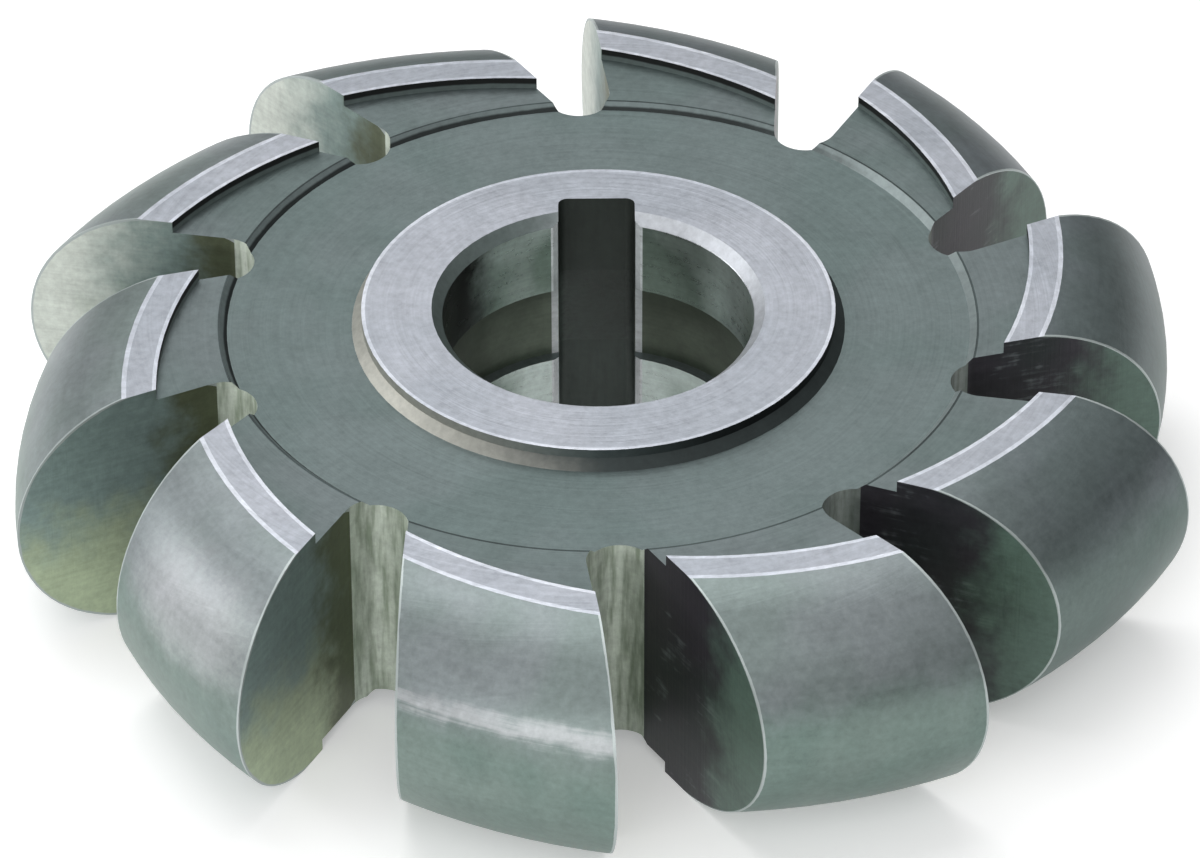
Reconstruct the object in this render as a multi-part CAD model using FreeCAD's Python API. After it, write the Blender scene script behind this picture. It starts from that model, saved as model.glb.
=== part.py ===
import FreeCAD, Part
import math
import os

# Half-round (radius) milling cutter: one solid of high-speed steel, in millimetres.
# The axis of the bore is Z, the origin lies on it midway between the two hub faces,
# and the keyway points along +Y. Seen from +Z the cutting faces look counter-clockwise.

# Overall form
cutter_diameter = 125.0
form_radius = 14.0
side_grinding = 0.2
tooth_count = 10

# Teeth. Behind its tip the form falls inward, at a rate of this much for each tooth pitch
relief_fall = 7.7
band_width = 3.6
side_step = 1.3
first_tip_angle = 91.1

# Gullets between the teeth: a cutting face with positive rake, a leaning heel and a round root
rake_angle = 6.3
gullet_root_distance = 37.1
gullet_root_radius = 3.3
gullet_angle = 25.0

# Web disc and hub, alike on both sides
web_diameter = 77.6
web_depth = 2.0
web_step_slope = 0.7
hub_diameter = 48.6
hub_foot_slope = 1.0

# Bore for the arbor, with its keyway
bore_diameter = 32.0
bore_chamfer = 1.1
bore_land_length = 8.2
bore_recess_depth = 1.2
key_width = 8.0
key_depth = 3.0
key_corner_radius = 1.0
key_edge_chamfer = 0.4

# Allowances for the shapes that cut or carry others
blank_lead_angle = 1.5
blank_end_gap = 3.0
seat_overlap = 2.7
tool_clearance = 5.0

cutter_width = 2 * (form_radius - side_grinding)
half_width = cutter_width / 2
tool_depth = cutter_width + 2 * tool_clearance
tip_radius = cutter_diameter / 2
form_centre = tip_radius - form_radius
pitch_angle = 360.0 / tooth_count
side_level = half_width - side_step
web_level = half_width - web_depth
web_radius = web_diameter / 2
body_radius = web_radius + seat_overlap
blank_inner_radius = web_radius + seat_overlap / 2
band_outer_radius = form_centre + math.sqrt(form_radius ** 2 - half_width ** 2)
band_inner_radius = band_outer_radius - band_width
bore_radius = bore_diameter / 2
key_floor = bore_radius + key_depth

# The plane of each cutting face passes this far from the bore's axis, so that its tip leads
rake_offset = tip_radius * math.sin(math.radians(rake_angle))

# The form is relieved on a circle about an axis beside the bore's, square to the line from the
# bore's axis to the tip. From tip to heel its fall stays even to within two tenths of a millimetre.
relief_axis = FreeCAD.Vector(0, relief_fall / math.radians(pitch_angle), 0)
origin = FreeCAD.Vector(0, 0, 0)
up = FreeCAD.Vector(0, 0, 1)


def from_relief_axis(radius):
    """Distance from the relief axis to the point this far out from the bore's axis towards the tip."""
    return math.hypot(radius, relief_axis.y)


def form_section():
    """Half-round section in a plane through the relief axis, which lies along Z here.

    That plane is turned a little from the line between the bore's axis and the tip, so the arc is a
    shade larger than the form: its crest and its side edges then come out true on that line.
    """
    crest = from_relief_axis(tip_radius)
    chord = crest - from_relief_axis(band_outer_radius)
    arc_radius = (chord ** 2 + half_width ** 2) / (2 * chord)
    shoulder = (half_width + arc_radius) / 2
    shoulder_x = crest - arc_radius + math.sqrt(arc_radius ** 2 - shoulder ** 2)
    root_x = web_radius / 2
    upper = FreeCAD.Vector(shoulder_x, 0, shoulder)
    lower = FreeCAD.Vector(shoulder_x, 0, -shoulder)
    upper_root = FreeCAD.Vector(root_x, 0, shoulder)
    lower_root = FreeCAD.Vector(root_x, 0, -shoulder)
    return Part.Face(Part.Wire([
        Part.Arc(lower, FreeCAD.Vector(crest, 0, 0), upper).toShape(),
        Part.makeLine(upper, upper_root),
        Part.makeLine(upper_root, lower_root),
        Part.makeLine(lower_root, lower),
    ]))


def side_pocket(direction):
    """The space cleared over one side of a tooth, inside its ground band."""
    radius = from_relief_axis(band_inner_radius)
    return Part.makeCylinder(radius, tool_clearance, relief_axis + direction * side_level, direction)


def tooth_blank():
    """One form-relieved tooth with its ground side bands, before the gullets are milled."""
    section = form_section()
    section.translate(relief_axis)
    start = math.degrees(math.atan2(-relief_axis.y, tip_radius))
    section.rotate(relief_axis, up, start + blank_lead_angle)
    form = section.revolve(relief_axis, -up, pitch_angle - blank_end_gap + blank_lead_angle)
    slab = Part.makeCylinder(tip_radius + tool_clearance, cutter_width, up * -half_width)
    core = Part.makeCylinder(blank_inner_radius, tool_depth, up * (-tool_depth / 2))
    pockets = Part.makeCompound([side_pocket(up), side_pocket(-up)])
    return form.common(slab).cut(core).cut(pockets).Solids[0]


def turned_body():
    """Hub, web disc and the rim that carries the teeth, turned as one."""
    hub_radius = hub_diameter / 2
    outline = [
        (0, half_width), (hub_radius, half_width),
        (hub_radius, web_level + hub_foot_slope), (hub_radius + hub_foot_slope, web_level),
        (web_radius - web_step_slope, web_level), (web_radius, side_level),
        (body_radius, side_level), (body_radius, 0), (0, 0),
    ]
    corners = [FreeCAD.Vector(r, 0, z) for r, z in outline]
    section = Part.Face(Part.makePolygon(corners + corners[:1]))
    upper = section.revolve(origin, up, 360)
    lower = upper.mirror(origin, up)
    return upper.fuse(lower).removeSplitter()


def gullet():
    """The space in front of the tooth whose tip lies on +X: cutting face, root and heel.

    It is drawn with the cutting face along X and then turned back by the rake angle.
    """
    lean = math.radians(gullet_angle)
    radius = gullet_root_radius
    centre_y = radius - rake_offset
    centre_x = math.sqrt((gullet_root_distance + radius) ** 2 - centre_y ** 2)
    centre = FreeCAD.Vector(centre_x, centre_y, 0)
    reach = tip_radius + tool_clearance
    along_heel = FreeCAD.Vector(math.cos(lean), math.sin(lean), 0)
    rake_far = FreeCAD.Vector(reach, -rake_offset, 0)
    rake_foot = FreeCAD.Vector(centre_x, -rake_offset, 0)
    bottom = centre - FreeCAD.Vector(math.cos(lean / 2), math.sin(lean / 2), 0) * radius
    heel_foot = centre + FreeCAD.Vector(-math.sin(lean), math.cos(lean), 0) * radius
    heel_far = heel_foot + along_heel * (reach - gullet_root_distance)
    outline = Part.Wire([
        Part.makeLine(rake_far, rake_foot),
        Part.Arc(rake_foot, bottom, heel_foot).toShape(),
        Part.makeLine(heel_foot, heel_far),
        Part.makeLine(heel_far, rake_far),
    ])
    face = Part.Face(outline)
    face.rotate(origin, up, rake_angle)
    face.translate(up * (-tool_depth / 2))
    return face.extrude(up * tool_depth)


def round_the_axis(shape):
    """Copies of a shape made for a tooth whose tip lies on +X, one for each tooth."""
    copies = []
    for i in range(tooth_count):
        copy = shape.copy()
        angle = first_tip_angle + i * pitch_angle
        copy.rotate(origin, up, angle)
        copies.append(copy)
    return copies


def bore_tool():
    """The bore with a chamfer at each end and the relieved middle between its two lands."""
    mouth = bore_radius + bore_chamfer
    recess = bore_radius + bore_recess_depth
    recess_level = half_width - bore_chamfer - bore_land_length
    above = half_width + tool_clearance
    points = [
        (0, above), (mouth, above), (mouth, half_width), (bore_radius, half_width - bore_chamfer),
        (bore_radius, recess_level), (recess, recess_level),
        (recess, -recess_level), (bore_radius, -recess_level),
        (bore_radius, bore_chamfer - half_width), (mouth, -half_width), (mouth, -above), (0, -above),
    ]
    outline = Part.makePolygon([FreeCAD.Vector(r, 0, z) for r, z in points + points[:1]])
    return Part.Face(outline).revolve(origin, up, 360)


def keyway_tool():
    """The keyway: flat sides, rounded floor corners and a small chamfer where it breaks into the bore."""
    half = key_width / 2
    corner = key_corner_radius
    inset = corner * (1 - math.sqrt(0.5))
    edge_y = math.sqrt(bore_radius ** 2 - half ** 2)
    flare = half + key_edge_chamfer * 2

    def at(x, y):
        return FreeCAD.Vector(x, y, 0)

    chamfer_top = edge_y + key_edge_chamfer
    chamfer_foot = chamfer_top - (flare - half)
    outline = Part.Wire([
        Part.makeLine(at(-flare, chamfer_foot), at(-half, chamfer_top)),
        Part.makeLine(at(-half, chamfer_top), at(-half, key_floor - corner)),
        Part.Arc(at(-half, key_floor - corner), at(inset - half, key_floor - inset),
                 at(corner - half, key_floor)).toShape(),
        Part.makeLine(at(corner - half, key_floor), at(half - corner, key_floor)),
        Part.Arc(at(half - corner, key_floor), at(half - inset, key_floor - inset),
                 at(half, key_floor - corner)).toShape(),
        Part.makeLine(at(half, key_floor - corner), at(half, chamfer_top)),
        Part.makeLine(at(half, chamfer_top), at(flare, chamfer_foot)),
        Part.makeLine(at(flare, chamfer_foot), at(-flare, chamfer_foot)),
    ])
    face = Part.Face(outline)
    face.translate(up * (-tool_depth / 2))
    return face.extrude(up * tool_depth)


def milling_cutter():
    """The whole cutter as one solid."""
    body = turned_body().multiFuse(round_the_axis(tooth_blank())).removeSplitter()
    body = body.cut(Part.makeCompound(round_the_axis(gullet())))
    body = body.cut(bore_tool()).cut(keyway_tool())
    return body.removeSplitter()


os.makedirs("parts", exist_ok=True)
cutter = milling_cutter()
cutter.exportStep("parts/milling_cutter.step")
print("solids", len(cutter.Solids), "valid", cutter.isValid(), "faces", len(cutter.Faces))
print("volume", round(cutter.Volume), "mm3, box", cutter.BoundBox)
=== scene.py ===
import functools
import math

import bpy
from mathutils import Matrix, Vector


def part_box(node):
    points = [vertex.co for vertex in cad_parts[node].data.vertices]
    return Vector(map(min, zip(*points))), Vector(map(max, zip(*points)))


# The cutter, in millimetres and degrees. These are the solid's own sizes, and the finishes are laid
# out by them.
MM = 0.001
TIP_RADIUS = 62.5
HALF_WIDTH = 13.8
FORM_RADIUS = 14.0
PITCH = 36.0
FIRST_TIP_ANGLE = 91.1
RELIEF_FALL = 7.7
BAND_WIDTH = 3.6
SIDE_LEVEL = 12.5
WEB_LEVEL = 11.8
WEB_RADIUS = 38.8
WEB_STEP_SLOPE = 0.7
HUB_RADIUS = 24.3
HUB_FOOT_SLOPE = 1.0
BORE_RADIUS = 16.0
BORE_MOUTH = 17.1
BORE_RECESS = 17.2
RECESS_LEVEL = 4.5
KEY_HALF = 4.0
RAKE_ANGLE = 6.3
GULLET_ROOT = 37.1
GULLET_ROOT_RADIUS = 3.3
GULLET_ANGLE = 25.0

# Teeth are counted in pitches from this number, so that no angle is negative when it is counted
FIRST_TOOTH = 30.0
# How far past a tip, in degrees, a point still belongs to the land behind it or the gullet before it
LAND_REACH = 6.0
GULLET_REACH = 12.0

# Faces are told apart by the share of their normal that runs along the bore's axis: flat ones lie across
# the axis, upright ones along it, and sloped ones between
FLAT = 0.993
SLOPED = 0.3
UPRIGHT = 0.05
# How far off a face, in millimetres, a point may lie and still count as on it. The facets of the land
# sag a little more, and the masks for whole regions have wider margins.
TOUCH = 0.05
LAND_SAG = 0.12
KEY_TOUCH = 0.02
ARC_MARGIN = 1.0
ROOT_MARGIN = 0.2
HUB_MARGIN = 2.0
# The keyway's faces all lie past this far along +Y. Its small edge chamfer has its middle this far
# outside the keyway's wall, and this much for half its width.
KEY_START = 14.0
KEY_EDGE = (0.42, 0.36)
# How far the bright rims of the ground faces, a painted highlight, and the dark line round the web reach,
# in millimetres
RIM_REACH = 0.4
OUTER_RIM_REACH = 0.5
WEB_LINE_REACH = 0.22

# The noises that all finishes share: spots to the millimetre, detail and roughness
WANDER = (0.06, 2.0)
PATCHES = (0.22, 4.0, 0.6)
MOTTLE = (1.1, 3.0, 0.7)
# The values between which the first one turns from a finish's own colour to its second
WANDER_LIMITS = (0.38, 0.62)
# How fine the marks of turning are, round the axis and for each millimetre outwards
TURNING = (1.6, 3.2)
# The bright line at a tooth's edges is partly a burr and partly a painted highlight
# The bright line at a tooth's edges: its width in millimetres, how much that varies, and its share of
# that width at the heel
BURR_WIDTH = 0.25
BURR_CHANGE = 0.4
HEEL_BURR = 0.8

# The camera, as fitted to the photograph: angles in degrees, lengths in millimetres
CAMERA_AZIMUTH = -0.564
CAMERA_ELEVATION = 37.298
CAMERA_ROLL = -0.132
CAMERA_DISTANCE = 713.86
CAMERA_RIGHT = 0.143
CAMERA_UP = 0.107
CAMERA_DROP = 2.2
CAMERA_LENS = 206.19
SENSOR_WIDTH = 36.0

# The floor, in metres, and how much it is lifted to come out white
FLOOR_SIZE = 4.0
FLOOR_LIFT = 0.3
# The sky: its level at the horizon and overhead, the heights between which it goes from one to the
# other, and how much higher up that happens on the right
SKY_LOW = 0.02
SKY_HIGH = 0.6
SKY_HEIGHTS = (0.05, 0.55)
SKY_LEAN = 0.2
# Lamps: azimuth and elevation in degrees, distance and size in metres, power in watts
LAMPS = {
    "key": (110, 66, 1.1, (0.9, 0.9), 5.0),
    "left_window": (168, 22, 1.1, (0.6, 0.35), 2.4),
    "front_window": (-116, 16, 1.0, (0.5, 0.08), 1.9),
    "fill": (-95, 50, 1.1, (0.6, 0.6), 1.2),
}


def seen(red, green, blue):
    """A colour given as it is seen on a screen, 0 to 255, as the linear colour that a shader takes."""
    linear = []
    for part in (red, green, blue):
        value = part / 255
        linear.append(value / 12.92 if value <= 0.04045 else ((value + 0.055) / 1.055) ** 2.4)
    return (*linear, 1.0)


class Field:
    """A number that varies over the surface. It is written with + - * / and built as shader nodes."""

    def __init__(self, tree, socket):
        self.tree = tree
        self.socket = socket

    def node(self, operation, *values):
        """The result of a math node that takes this field first and then the values."""
        made = self.tree.nodes.new("ShaderNodeMath")
        made.operation = operation
        for slot, value in zip(made.inputs, (self, *values)):
            fill(self.tree, slot, value)
        return Field(self.tree, made.outputs[0])

    def __add__(self, other):
        return self.node("ADD", other)

    def __sub__(self, other):
        return self.node("SUBTRACT", other)

    def __rsub__(self, other):
        return (self * -1.0) + other

    def __mul__(self, other):
        return self.node("MULTIPLY", other)

    def __truediv__(self, other):
        return self.node("DIVIDE", other)

    def __abs__(self):
        return self.node("ABSOLUTE")

    def near(self, value, reach):
        return self.node("COMPARE", value, reach)

    def below(self, value):
        return self.node("LESS_THAN", value)

    def above(self, value):
        return self.node("GREATER_THAN", value)

    def smaller(self, other):
        return self.node("MINIMUM", other)

    def larger(self, other):
        return self.node("MAXIMUM", other)

    def falls(self, start, end):
        """1 below start and 0 above end, with a soft change between them."""
        return self.change(start, end, 1.0, 0.0)

    def rises(self, start, end):
        """0 below start and 1 above end, with a soft change between them."""
        return self.change(start, end, 0.0, 1.0)

    def change(self, start, end, before, after):
        made = self.tree.nodes.new("ShaderNodeMapRange")
        made.interpolation_type = "SMOOTHSTEP"
        self.tree.links.new(self.socket, made.inputs["Value"])
        made.inputs["From Min"].default_value = start
        made.inputs["From Max"].default_value = end
        made.inputs["To Min"].default_value = before
        made.inputs["To Max"].default_value = after
        return Field(self.tree, made.outputs["Result"])


def fill(tree, slot, value):
    """Link a field or a socket to a node's input, or set the input where the value is a plain one."""
    if isinstance(value, Field):
        tree.links.new(value.socket, slot)
    elif isinstance(value, bpy.types.NodeSocket):
        tree.links.new(value, slot)
    else:
        slot.default_value = value


def total(fields):
    return functools.reduce(Field.__add__, fields)


def length(a, b):
    return (a * a + b * b).node("SQRT")


def mix(tree, share, first, second, blend="MIX"):
    """A colour socket between two colours or sockets, by a field or a number."""
    made = tree.nodes.new("ShaderNodeMix")
    made.data_type = "RGBA"
    made.blend_type = blend
    # The first input is the share, and 6 and 7 are the ones for colours
    for slot, value in ((made.inputs[0], share), (made.inputs[6], first), (made.inputs[7], second)):
        fill(tree, slot, value)
    return made.outputs[2]


def noise(tree, place, detail, rough=0.55):
    """Smooth noise, about 0.5 in the middle, over three fields or numbers."""
    joined = tree.nodes.new("ShaderNodeCombineXYZ")
    for slot, value in zip(joined.inputs, place):
        fill(tree, slot, value)
    made = tree.nodes.new("ShaderNodeTexNoise")
    made.inputs["Scale"].default_value = 1.0
    made.inputs["Detail"].default_value = detail
    made.inputs["Roughness"].default_value = rough
    tree.links.new(joined.outputs[0], made.inputs["Vector"])
    return Field(tree, made.outputs["Fac"])


class Surface:
    """Where a point lies on the cutter: the coordinates, in millimetres, that the finishes are laid out
    by, the masks of its faces, and the noises that all finishes share.
    """

    def __init__(self, tree):
        self.tree = tree
        place = tree.nodes.new("ShaderNodeTexCoord")
        split = tree.nodes.new("ShaderNodeSeparateXYZ")
        tree.links.new(place.outputs["Object"], split.inputs[0])
        facing = tree.nodes.new("ShaderNodeSeparateXYZ")
        tree.links.new(place.outputs["Normal"], facing.inputs[0])
        self.x, self.y, self.z = (Field(tree, socket) * (1 / MM) for socket in split.outputs)
        self.up = abs(Field(tree, facing.outputs[2]))
        self.level = abs(self.z)
        self.radius = length(self.x, self.y)
        self.turn_x = self.x / self.radius
        self.turn_y = self.y / self.radius
        self.angle = self.y.node("ARCTAN2", self.x) * math.degrees(1)
        self.lay_out_land()
        self.lay_out_gullet()
        self.wander = self.spread(*WANDER).rises(*WANDER_LIMITS)
        self.patches = self.spread(*PATCHES) - 0.5
        self.mottle = self.spread(*MOTTLE) - 0.5
        self.masks = zones(self)
        self.marks = streaks(self)

    def spread(self, scale, *look):
        """Noise that is alike in all directions, with about this many spots to the millimetre."""
        return noise(self.tree, (self.x * scale, self.y * scale, self.z * scale), *look)

    def around(self, fine, across):
        """A place for noise that is drawn out round the axis."""
        return self.turn_x * fine, self.turn_y * fine, across

    def from_tip(self, angle, reach):
        """An angle measured from the nearest tip, from this far on its other side up to a pitch more,
        and that tip's number.
        """
        counted = angle + (FIRST_TOOTH * PITCH + reach)
        return counted.node("MODULO", PITCH) - reach, (counted / PITCH).node("FLOOR")

    def lay_out_land(self):
        """Place on the relieved form behind the tip: sweep is the distance from the relief axis."""
        self.behind, self.land_number = self.from_tip(FIRST_TIP_ANGLE - self.angle, LAND_REACH)
        turned = self.behind * math.radians(1)
        relief_offset = RELIEF_FALL / math.radians(PITCH)
        towards_tip = self.radius * turned.node("COSINE")
        square_to_tip = self.radius * turned.node("SINE") + relief_offset
        self.sweep = length(towards_tip, square_to_tip)
        crest = math.hypot(TIP_RADIUS, relief_offset)
        side_edge = TIP_RADIUS - FORM_RADIUS + math.sqrt(FORM_RADIUS ** 2 - HALF_WIDTH ** 2)
        self.band_outer = math.hypot(side_edge, relief_offset)
        self.band_inner = math.hypot(side_edge - BAND_WIDTH, relief_offset)
        chord = crest - self.band_outer
        self.arc_radius = (chord ** 2 + HALF_WIDTH ** 2) / (2 * chord)
        self.arc_centre = crest - self.arc_radius
        outward = self.sweep - self.arc_centre
        self.from_arc = length(outward, self.z)
        self.arc_angle = self.z.node("ARCTAN2", outward)

    def lay_out_gullet(self):
        """Place in the gullet in front of the nearest tip, with its cutting face along the first axis."""
        ahead, self.tooth = self.from_tip(self.angle - FIRST_TIP_ANGLE, GULLET_REACH)
        turned = (ahead - RAKE_ANGLE) * math.radians(1)
        self.along = self.radius * turned.node("COSINE")
        across = self.radius * turned.node("SINE")
        rake_offset = TIP_RADIUS * math.sin(math.radians(RAKE_ANGLE))
        lean = math.radians(GULLET_ANGLE)
        centre_y = GULLET_ROOT_RADIUS - rake_offset
        centre_x = math.sqrt((GULLET_ROOT + GULLET_ROOT_RADIUS) ** 2 - centre_y ** 2)
        heel_x = centre_x - GULLET_ROOT_RADIUS * math.sin(lean)
        heel_y = centre_y + GULLET_ROOT_RADIUS * math.cos(lean)
        self.from_rake = abs(across + rake_offset)
        past_heel_foot = (self.along - heel_x) * math.sin(lean)
        self.from_heel = abs(past_heel_foot - (across - heel_y) * math.cos(lean))


def zones(at):
    """Masks, each 1 on one kind of surface and 0 elsewhere."""
    flat = at.up.above(FLAT)
    tooth = at.sweep.above(at.arc_centre - ARC_MARGIN)
    land = at.from_arc.above(at.arc_radius - LAND_SAG) * tooth * (1.0 - flat)
    not_land = 1.0 - land
    ground = flat * at.level.above(HALF_WIDTH - TOUCH) * not_land
    side = flat * at.level.near(SIDE_LEVEL, 2 * TOUCH) * not_land
    web = flat * at.level.near(WEB_LEVEL, 2 * TOUCH) * not_land
    rims = total([
        at.sweep.near(at.band_outer, OUTER_RIM_REACH),
        at.sweep.near(at.band_inner, RIM_REACH),
        at.radius.near(HUB_RADIUS, RIM_REACH),
    ])

    upright = (1.0 - flat) * not_land
    gullet = upright * at.radius.above(GULLET_ROOT - ROOT_MARGIN) * at.up.below(SLOPED)
    rake = gullet * at.from_rake.below(TOUCH)
    heel = gullet * at.from_heel.below(TOUCH) * (1.0 - rake)
    walls = gullet * (1.0 - rake) * (1.0 - heel)
    step = walls * at.sweep.near(at.band_inner, 2 * TOUCH) * at.level.above(SIDE_LEVEL - TOUCH)

    sloped = upright * at.up.above(SLOPED)
    foot = at.radius.near(HUB_RADIUS + HUB_FOOT_SLOPE / 2, HUB_FOOT_SLOPE / 2 + 2 * TOUCH)
    web_step = at.radius.near(WEB_RADIUS - WEB_STEP_SLOPE / 2, WEB_STEP_SLOPE / 2 + TOUCH)

    inner = upright * at.radius.below(HUB_RADIUS - HUB_MARGIN)
    recess = at.radius.above(BORE_RECESS - TOUCH) * at.level.below(RECESS_LEVEL + TOUCH)
    keyway = abs(at.x).below(KEY_HALF + KEY_TOUCH) * at.y.above(KEY_START)
    edge_middle, edge_reach = KEY_EDGE
    key_edge = abs(at.x).near(KEY_HALF + edge_middle, edge_reach) * at.y.above(KEY_START)
    return {
        "land": land,
        "ground": ground,
        "rim": ground * rims,
        "side": side,
        "line": side * at.radius.near(WEB_RADIUS, WEB_LINE_REACH),
        "web": web,
        "rake": rake,
        "heel": heel,
        "step": step,
        "root": walls * (1.0 - step),
        "hub": upright * (1.0 - sloped) * at.radius.near(HUB_RADIUS, 2 * TOUCH),
        "foot": sloped * foot,
        "web_step": sloped * web_step,
        "mouth": sloped * at.radius.below(BORE_MOUTH + TOUCH),
        "bore": inner * at.radius.below(BORE_RADIUS + TOUCH),
        "recess": inner * recess,
        "keyway": inner * keyway,
        "key_edge": inner * key_edge * at.up.below(UPRIGHT),
    }


def streaks(at):
    """Tool marks, about 0 in the middle, drawn out along the way each surface was worked."""
    masks = at.masks
    turned = masks["web"] + masks["side"] + masks["ground"]
    cut = masks["rake"] + masks["heel"]
    drawn = masks["root"] + masks["keyway"]
    bored = masks["bore"] + masks["recess"]
    # Where each way of working was used, how strong its marks are, and the place its noise is taken from
    ways = [
        (turned, 0.8, at.around(TURNING[0], at.radius * TURNING[1])),
        (masks["land"], 0.45, at.around(3.0, at.arc_angle * (FORM_RADIUS * 1.8))),
        (cut, 0.8, (at.along * 0.14, at.z * 2.2, at.tooth * 7.3)),
        (drawn, 2.2, (at.x * 1.3, at.y * 1.3, at.z * 0.16)),
        (bored, 0.9, at.around(2.0, at.z * 2.6)),
    ]
    place = [total(mask * way[axis] for mask, _, way in ways) for axis in range(3)]
    strength = total(mask * amount for mask, amount, _ in ways)
    return (noise(at.tree, place, 4.0) - 0.5) * strength


def edges(at):
    """The thin bright line where two faces of a tooth meet, a little wider here and there: partly a burr
    and partly a painted highlight.
    """
    ragged = at.patches * BURR_CHANGE + BURR_WIDTH
    cutting = at.masks["land"] * (at.from_rake - ragged).below(0.0)
    heel = at.masks["land"] * (at.from_heel - ragged * HEEL_BURR).below(0.0)
    crest = at.masks["rake"] * ((at.arc_radius - at.from_arc) - ragged).below(0.0)
    return (cutting + heel + crest).smaller(1.0)


def wandering(first, second):
    """A finish of one colour that wanders to a second."""
    return lambda at: mix(at.tree, at.wander, first, second)


# The finishes below lay their colours out by place. The two numbers of a rise or a fall are mostly places,
# in millimetres, between which one colour gives way to the next. The patches are multiplied by
# millimetres too, and move that border about so that it comes out ragged. In the frame the photo's right
# is +X and its back is +Y.
# The direction in which the painted shade on the lands deepens
BACK_RIGHT = (0.75, 0.66)
# Painted shade: what the lands at the back right and the roots on the right are multiplied by to darken
# them
LAND_SHADE = (0.62, 0.64, 0.66, 1.0)
ROOT_SHADE = (0.34, 0.35, 0.38, 1.0)


def land_colour(at):
    """Painted reflection and shade: lavender grey above and darker grey green below. Painted shade towards
    the back right, and painted highlights on two teeth.
    """
    # Painted reflection and shade: lavender grey above, turning to a darker grey green below
    above = mix(at.tree, at.wander, seen(137, 145, 147), seen(127, 139, 137))
    below = mix(at.tree, at.wander, seen(112, 132, 125), seen(122, 138, 132))
    plain = mix(at.tree, (at.z + at.patches * 6.0).falls(2.0, 8.0), above, below)
    # Painted shade on the lands that face the back right
    facing_back_right = at.turn_x * BACK_RIGHT[0] + at.turn_y * BACK_RIGHT[1]
    shaded = mix(at.tree, facing_back_right.rises(-0.3, 0.4), plain, LAND_SHADE, "MULTIPLY")

    # Painted highlight: a ragged bright streak on one tooth's land, and a bright area on the next tooth's
    # land
    from_painted_streak = abs(at.z + at.marks * 6.0 + at.patches * 3.0 - 6.2)
    line = from_painted_streak.falls(0.1, 1.5) * at.land_number.near(FIRST_TOOTH + 5, 0.5)
    across_highlight = abs(at.z + at.patches * 4.0 - 7.0).falls(1.0, 6.0)
    along_highlight = abs(at.behind - 9.0).falls(3.0, 14.0)
    highlight_patch = across_highlight * along_highlight * at.land_number.near(FIRST_TOOTH + 6, 0.5)
    return mix(at.tree, line * 0.5 + highlight_patch * 0.45, shaded, seen(206, 206, 210))


def rake_colour(at):
    """Teal above and olive below, with painted shade near the root. The three teeth at the back left have a
    pale edge, a painted highlight.
    """
    place = at.along + at.patches * 12.0
    height = at.z + at.patches * 16.0
    middle = mix(at.tree, height.falls(-6.0, 4.0), seen(134, 154, 150), seen(176, 190, 160))
    # Painted highlight: a pale edge on the three teeth at the back left
    highlighted_teeth = at.tooth.above(FIRST_TOOTH - 0.5)
    outer = mix(at.tree, place.rises(46.0, 58.0) * highlighted_teeth, middle, seen(206, 212, 204))
    # Painted shade: darker near the root
    return mix(at.tree, place.falls(42.0, 48.0), outer, seen(100, 108, 84))


def heel_colour(at):
    """Black near the root, dark steel with painted shade over it, green towards the outer edge, with grey
    scuffs that run across it.
    """
    # Dark steel with painted shade near the root
    black = mix(at.tree, at.wander, seen(50, 54, 56), seen(58, 54, 62))
    scuffs = (at.patches + at.marks * 0.6).rises(0.06, 0.26)
    worn = mix(at.tree, scuffs, black, seen(104, 108, 112))
    return mix(at.tree, (at.along + at.patches * 12.0).rises(47.0, 54.0), worn, seen(90, 112, 102))


def root_colour(at):
    """Pale streaks on grey green, with painted shade on the four gullets on the right."""
    streaky = (at.marks + at.patches * 0.3).rises(-0.4, 0.44)
    plain = mix(at.tree, streaky, seen(226, 236, 222), seen(140, 152, 134))
    # Painted shade on the four gullets on the right
    shaded_gullets = at.tooth.near(FIRST_TOOTH - 2.5, 1.6)
    return mix(at.tree, shaded_gullets, plain, ROOT_SHADE, "MULTIPLY")


def bore_colour(at):
    """Clean steel with green patches, and painted shade on the left."""
    clean = mix(at.tree, at.wander, seen(200, 212, 208), seen(118, 134, 124))
    # Painted shade on the bore's left side
    shade_share = (at.x + at.patches * 6.0).falls(-14.0, -9.5)
    return mix(at.tree, shade_share, clean, seen(52, 54, 52))


def mouth_colour(at):
    """Clean steel on the right and a darker grey green on the left, a painted shade."""
    # Painted shade on the left of the bore's mouth
    darker_side = (at.x + at.patches * 8.0).falls(-10.0, 6.0)
    return mix(at.tree, darker_side, seen(206, 210, 216), seen(116, 128, 126))


def hub_colour(at):
    """The hub's wall: a pale painted highlight on the left, then grey green, and painted shade, near black,
    on the right.
    """
    # Painted highlight on the left, and grey green elsewhere
    darker_side = (at.x * 0.9 + at.y * 0.3).rises(-24.0, -6.0)
    clean = mix(at.tree, darker_side, seen(184, 184, 176), seen(112, 124, 124))
    # Painted shade on the right
    shade_share = (at.x * 0.9 - at.y * 0.3 + at.patches * 8.0).rises(0.0, 20.0)
    return mix(at.tree, shade_share, clean, seen(26, 30, 30))


def foot_colour(at):
    """The slope at the hub's foot: a pale painted highlight on the left, and painted shade elsewhere."""
    # Painted highlight on the left and painted shade elsewhere
    shade_share = (at.x * 0.9 + at.y * 0.3 + at.patches * 10.0).rises(-24.0, -6.0)
    return mix(at.tree, shade_share, seen(184, 184, 176), seen(58, 66, 66))


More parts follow.
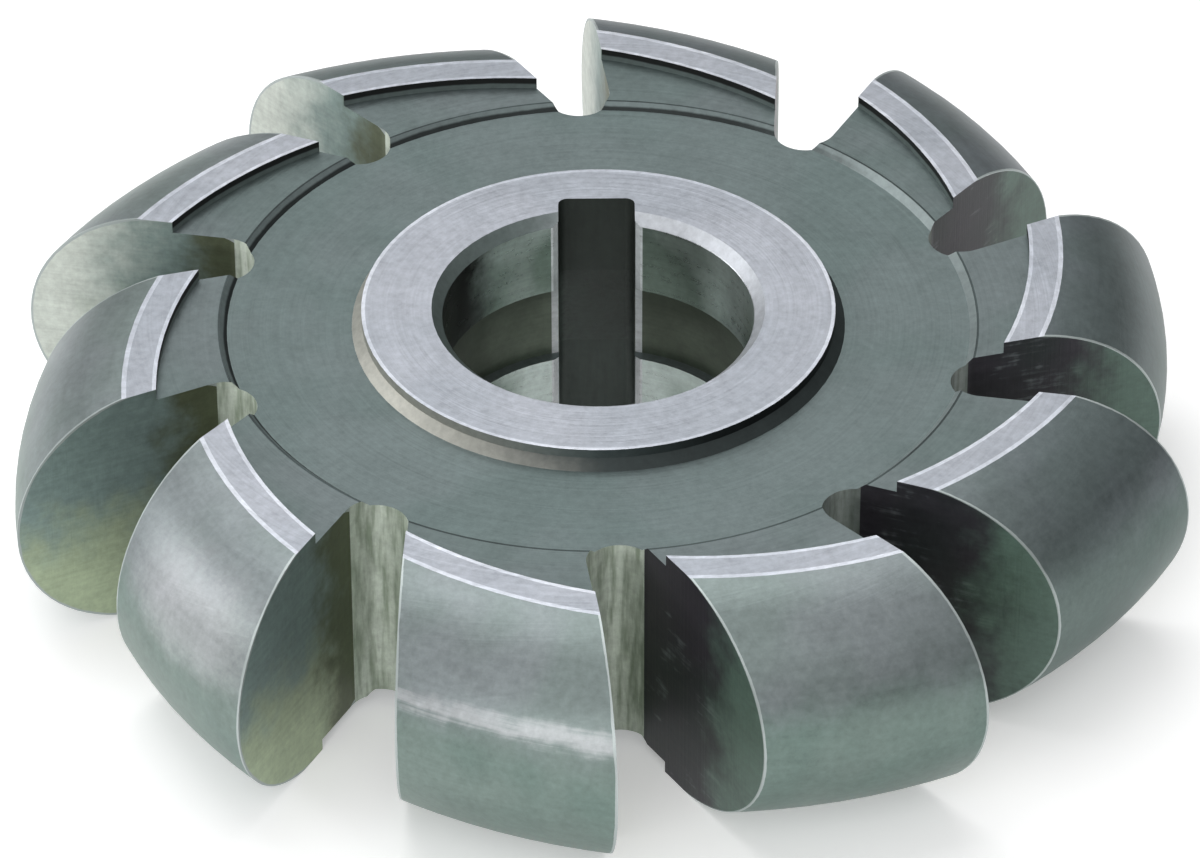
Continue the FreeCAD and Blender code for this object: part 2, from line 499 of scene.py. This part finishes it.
def web_step_colour(at):
    """Painted shade: black in the corner and darker steel above it, except on the right, which is lighter
    all over as a painted highlight.
    """
    # Painted shade except on the right, where the steel is lighter as a painted highlight
    shaded_left = (at.x + at.patches * 10.0).falls(14.0, 32.0)
    clean = mix(at.tree, shaded_left, seen(146, 157, 157), seen(118, 130, 130))
    # Painted shade: black in the corner
    corner = (at.level + at.patches * 0.3).falls(12.05, 12.25)
    return mix(at.tree, corner * shaded_left, clean, seen(44, 50, 50))


def step_colour(at):
    """Black under the band's edge, a painted shadow, and clean steel below."""
    # Painted shadow under the band's edge
    clean = (at.level + at.patches * 0.3).falls(12.95, 13.2)
    return mix(at.tree, clean, seen(34, 36, 35), seen(112, 124, 122))


# The steel where no other finish lies: two colours, roughness, and how bare the metal is
BASE_COLOURS = (seen(118, 128, 128), seen(128, 136, 136))
BASE_ROUGH = 0.5
BASE_METAL = 0.8
# Each finish: its colour, its roughness, and how bare the metal is. A later one lies over an earlier one.
FINISHES = {
    "ground": (wandering(seen(174, 178, 186), seen(166, 171, 179)), 0.42, 0.9),
    # Painted highlight along the edges of the ground faces
    "rim": (wandering(seen(212, 216, 224), seen(194, 199, 208)), 0.42, 0.9),
    "side": (wandering(seen(106, 119, 118), seen(114, 124, 125)), 0.5, 0.8),
    "line": (wandering(seen(56, 64, 64), seen(74, 84, 84)), 0.5, 0.8),
    "web": (wandering(seen(107, 121, 120), seen(113, 125, 125)), 0.5, 0.8),
    "step": (step_colour, 0.6, 0.4),
    "bore": (bore_colour, 0.3, 0.8),
    "recess": (wandering(seen(110, 120, 106), seen(72, 80, 68)), 0.5, 0.4),
    "keyway": (wandering(seen(76, 84, 80), seen(52, 58, 54)), 0.5, 0.3),
    # Painted highlight: the keyway's edge chamfer is near white
    "key_edge": (wandering(seen(238, 240, 244), seen(220, 226, 228)), 0.5, 0.2),
    "mouth": (mouth_colour, 0.5, 0.8),
    "hub": (hub_colour, 0.5, 0.6),
    "foot": (foot_colour, 0.5, 0.6),
    "web_step": (web_step_colour, 0.5, 0.6),
    "land": (land_colour, 0.44, 0.62),
    "rake": (rake_colour, 0.5, 0.5),
    "heel": (heel_colour, 0.4, 0.35),
    "root": (root_colour, 0.5, 0.3),
}
# The colour of the bright line at a tooth's edges, partly a burr and partly a painted highlight
BURR_AND_HIGHLIGHT = seen(178, 187, 186)
# How much the marks, the mottle and the patches change the colour, and the first two the roughness
COLOUR_CHANGES = (0.5, 0.6, 0.35)
ROUGH_CHANGES = (0.2, 0.12)
# The relief of the surface: its strength, its height in millimetres, and its shares of turning and mottle
BUMP_STRENGTH = 0.3
BUMP_HEIGHT = 0.1
BUMP_SHARES = (0.6, 0.5)


def steel_material():
    """Tool steel with every finish of the cutter, each laid on its own faces."""
    material = bpy.data.materials.new("tool_steel_finished")
    material.use_nodes = True
    tree = material.node_tree
    shader = tree.nodes["Principled BSDF"]
    at = Surface(tree)

    colour = mix(tree, at.wander, *BASE_COLOURS)
    rough = at.marks * ROUGH_CHANGES[0] + at.mottle * ROUGH_CHANGES[1] + BASE_ROUGH
    metal = BASE_METAL
    for name, (paint, roughness, bare) in FINISHES.items():
        mask = at.masks[name]
        colour = mix(tree, mask, colour, paint(at))
        if roughness != BASE_ROUGH:
            rough = rough + mask * (roughness - BASE_ROUGH)
        if bare != BASE_METAL:
            metal = mask * (bare - BASE_METAL) + metal
    changing = zip((at.marks, at.mottle, at.patches), COLOUR_CHANGES)
    change = total(field * amount for field, amount in changing) + 1.0
    colour = mix(tree, 1.0, colour, change, "MULTIPLY")
    colour = mix(tree, edges(at), colour, BURR_AND_HIGHLIGHT)
    tree.links.new(colour, shader.inputs["Base Color"])
    tree.links.new(rough.socket, shader.inputs["Roughness"])
    tree.links.new(metal.socket, shader.inputs["Metallic"])

    bump = tree.nodes.new("ShaderNodeBump")
    bump.inputs["Strength"].default_value = BUMP_STRENGTH
    bump.inputs["Distance"].default_value = BUMP_HEIGHT * MM
    turned = noise(tree, at.around(TURNING[0], at.radius * TURNING[1]), 2.0)
    height = turned * BUMP_SHARES[0] + at.mottle * BUMP_SHARES[1]
    tree.links.new(height.socket, bump.inputs["Height"])
    tree.links.new(bump.outputs["Normal"], shader.inputs["Normal"])
    return material


def direction(azimuth, elevation):
    """The way from the origin to a place given by two angles in degrees."""
    azimuth, elevation = math.radians(azimuth), math.radians(elevation)
    out = math.cos(elevation)
    return Vector((math.cos(azimuth) * out, math.sin(azimuth) * out, math.sin(elevation)))


def camera():
    """The photograph's camera. At azimuth 0 it stands at the front, towards -Y."""
    roll = math.radians(CAMERA_ROLL)
    back = direction(CAMERA_AZIMUTH - 90, CAMERA_ELEVATION)
    right = direction(CAMERA_AZIMUTH, 0)
    above = back.cross(right)
    place = back * CAMERA_DISTANCE + right * CAMERA_RIGHT + above * CAMERA_UP
    data = bpy.data.cameras.new("camera")
    data.lens = CAMERA_LENS
    data.sensor_width = SENSOR_WIDTH
    data.sensor_fit = "HORIZONTAL"
    data.clip_start = 0.01
    data.clip_end = 20
    made = bpy.data.objects.new("camera", data)
    bpy.context.scene.collection.objects.link(made)
    made.location = (place - Vector((0, 0, CAMERA_DROP))) * MM
    turn = made.rotation_euler.to_matrix()
    turn.col[0] = right * math.cos(roll) + above * math.sin(roll)
    turn.col[1] = above * math.cos(roll) - right * math.sin(roll)
    turn.col[2] = back
    made.rotation_euler = turn.to_euler()
    bpy.context.scene.camera = made


def lamp(name, azimuth, elevation, distance, size, power):
    """A soft lamp that looks at the origin from a direction given in degrees."""
    way = direction(azimuth, elevation)
    data = bpy.data.lights.new(name, "AREA")
    data.shape = "RECTANGLE"
    data.size, data.size_y = size
    data.energy = power
    made = bpy.data.objects.new(name, data)
    bpy.context.scene.collection.objects.link(made)
    made.location = way * distance
    made.rotation_euler = way.to_track_quat("Z", "Y").to_euler()


def seen_rays(tree):
    """1 for the rays that show a surface to the camera, straight or by a reflection, and 0 for the rest."""
    path = tree.nodes.new("ShaderNodeLightPath")
    kinds = ("Is Camera Ray", "Is Glossy Ray", "Is Transmission Ray")
    return total(Field(tree, path.outputs[kind]) for kind in kinds).smaller(1.0)


def floor_material():
    """White paper: plain diffuse, and lifted a little where it is seen, so that it comes out white."""
    paint = bpy.data.materials.new("floor_white")
    paint.use_nodes = True
    tree = paint.node_tree
    shader = tree.nodes["Principled BSDF"]
    shader.inputs["Base Color"].default_value = (0.95, 0.95, 0.95, 1)
    shader.inputs["Roughness"].default_value = 0.9
    shader.inputs["Specular IOR Level"].default_value = 0.0
    shader.inputs["Emission Color"].default_value = (1, 1, 1, 1)
    tree.links.new((seen_rays(tree) * FLOOR_LIFT).socket, shader.inputs["Emission Strength"])
    # The lift is only seen and mirrored, so no light samples are spent on it
    paint.cycles.emission_sampling = "NONE"
    return paint


def sky():
    """Soft light from overhead, dark towards the horizon and, on the right, some way above it too."""
    world = bpy.data.worlds.new("studio")
    bpy.context.scene.world = world
    world.use_nodes = True
    tree = world.node_tree
    way = tree.nodes.new("ShaderNodeTexCoord")
    split = tree.nodes.new("ShaderNodeSeparateXYZ")
    tree.links.new(way.outputs["Generated"], split.inputs[0])
    rightward = Field(tree, split.outputs[0]).larger(0.0)
    overhead = (Field(tree, split.outputs[2]) - rightward * SKY_LEAN).rises(*SKY_HEIGHTS)
    background = tree.nodes["Background"]
    background.inputs["Color"].default_value = (1, 1, 1, 1)
    tree.links.new((overhead * (SKY_HIGH - SKY_LOW) + SKY_LOW).socket, background.inputs["Strength"])


def stage(floor_level):
    """A white floor that runs past the view, and soft light, mostly from the back and the left."""
    bpy.ops.mesh.primitive_plane_add(size=FLOOR_SIZE, location=(0, 0, floor_level))
    floor = bpy.context.object
    floor.name = "floor"
    floor.data.materials.append(floor_material())
    sky()
    for name, settings in LAMPS.items():
        lamp(name, *settings)


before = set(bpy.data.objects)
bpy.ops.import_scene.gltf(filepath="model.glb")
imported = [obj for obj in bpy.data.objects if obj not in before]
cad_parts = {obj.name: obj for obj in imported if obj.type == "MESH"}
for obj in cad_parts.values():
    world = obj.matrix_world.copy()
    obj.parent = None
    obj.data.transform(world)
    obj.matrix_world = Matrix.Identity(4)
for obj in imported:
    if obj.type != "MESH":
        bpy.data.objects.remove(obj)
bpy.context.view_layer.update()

steel = steel_material()
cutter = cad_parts["milling_cutter"]
for slot in cutter.material_slots:
    slot.material = steel

camera()
stage(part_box("milling_cutter")[0].z)
bpy.context.scene.view_settings.view_transform = "Standard"
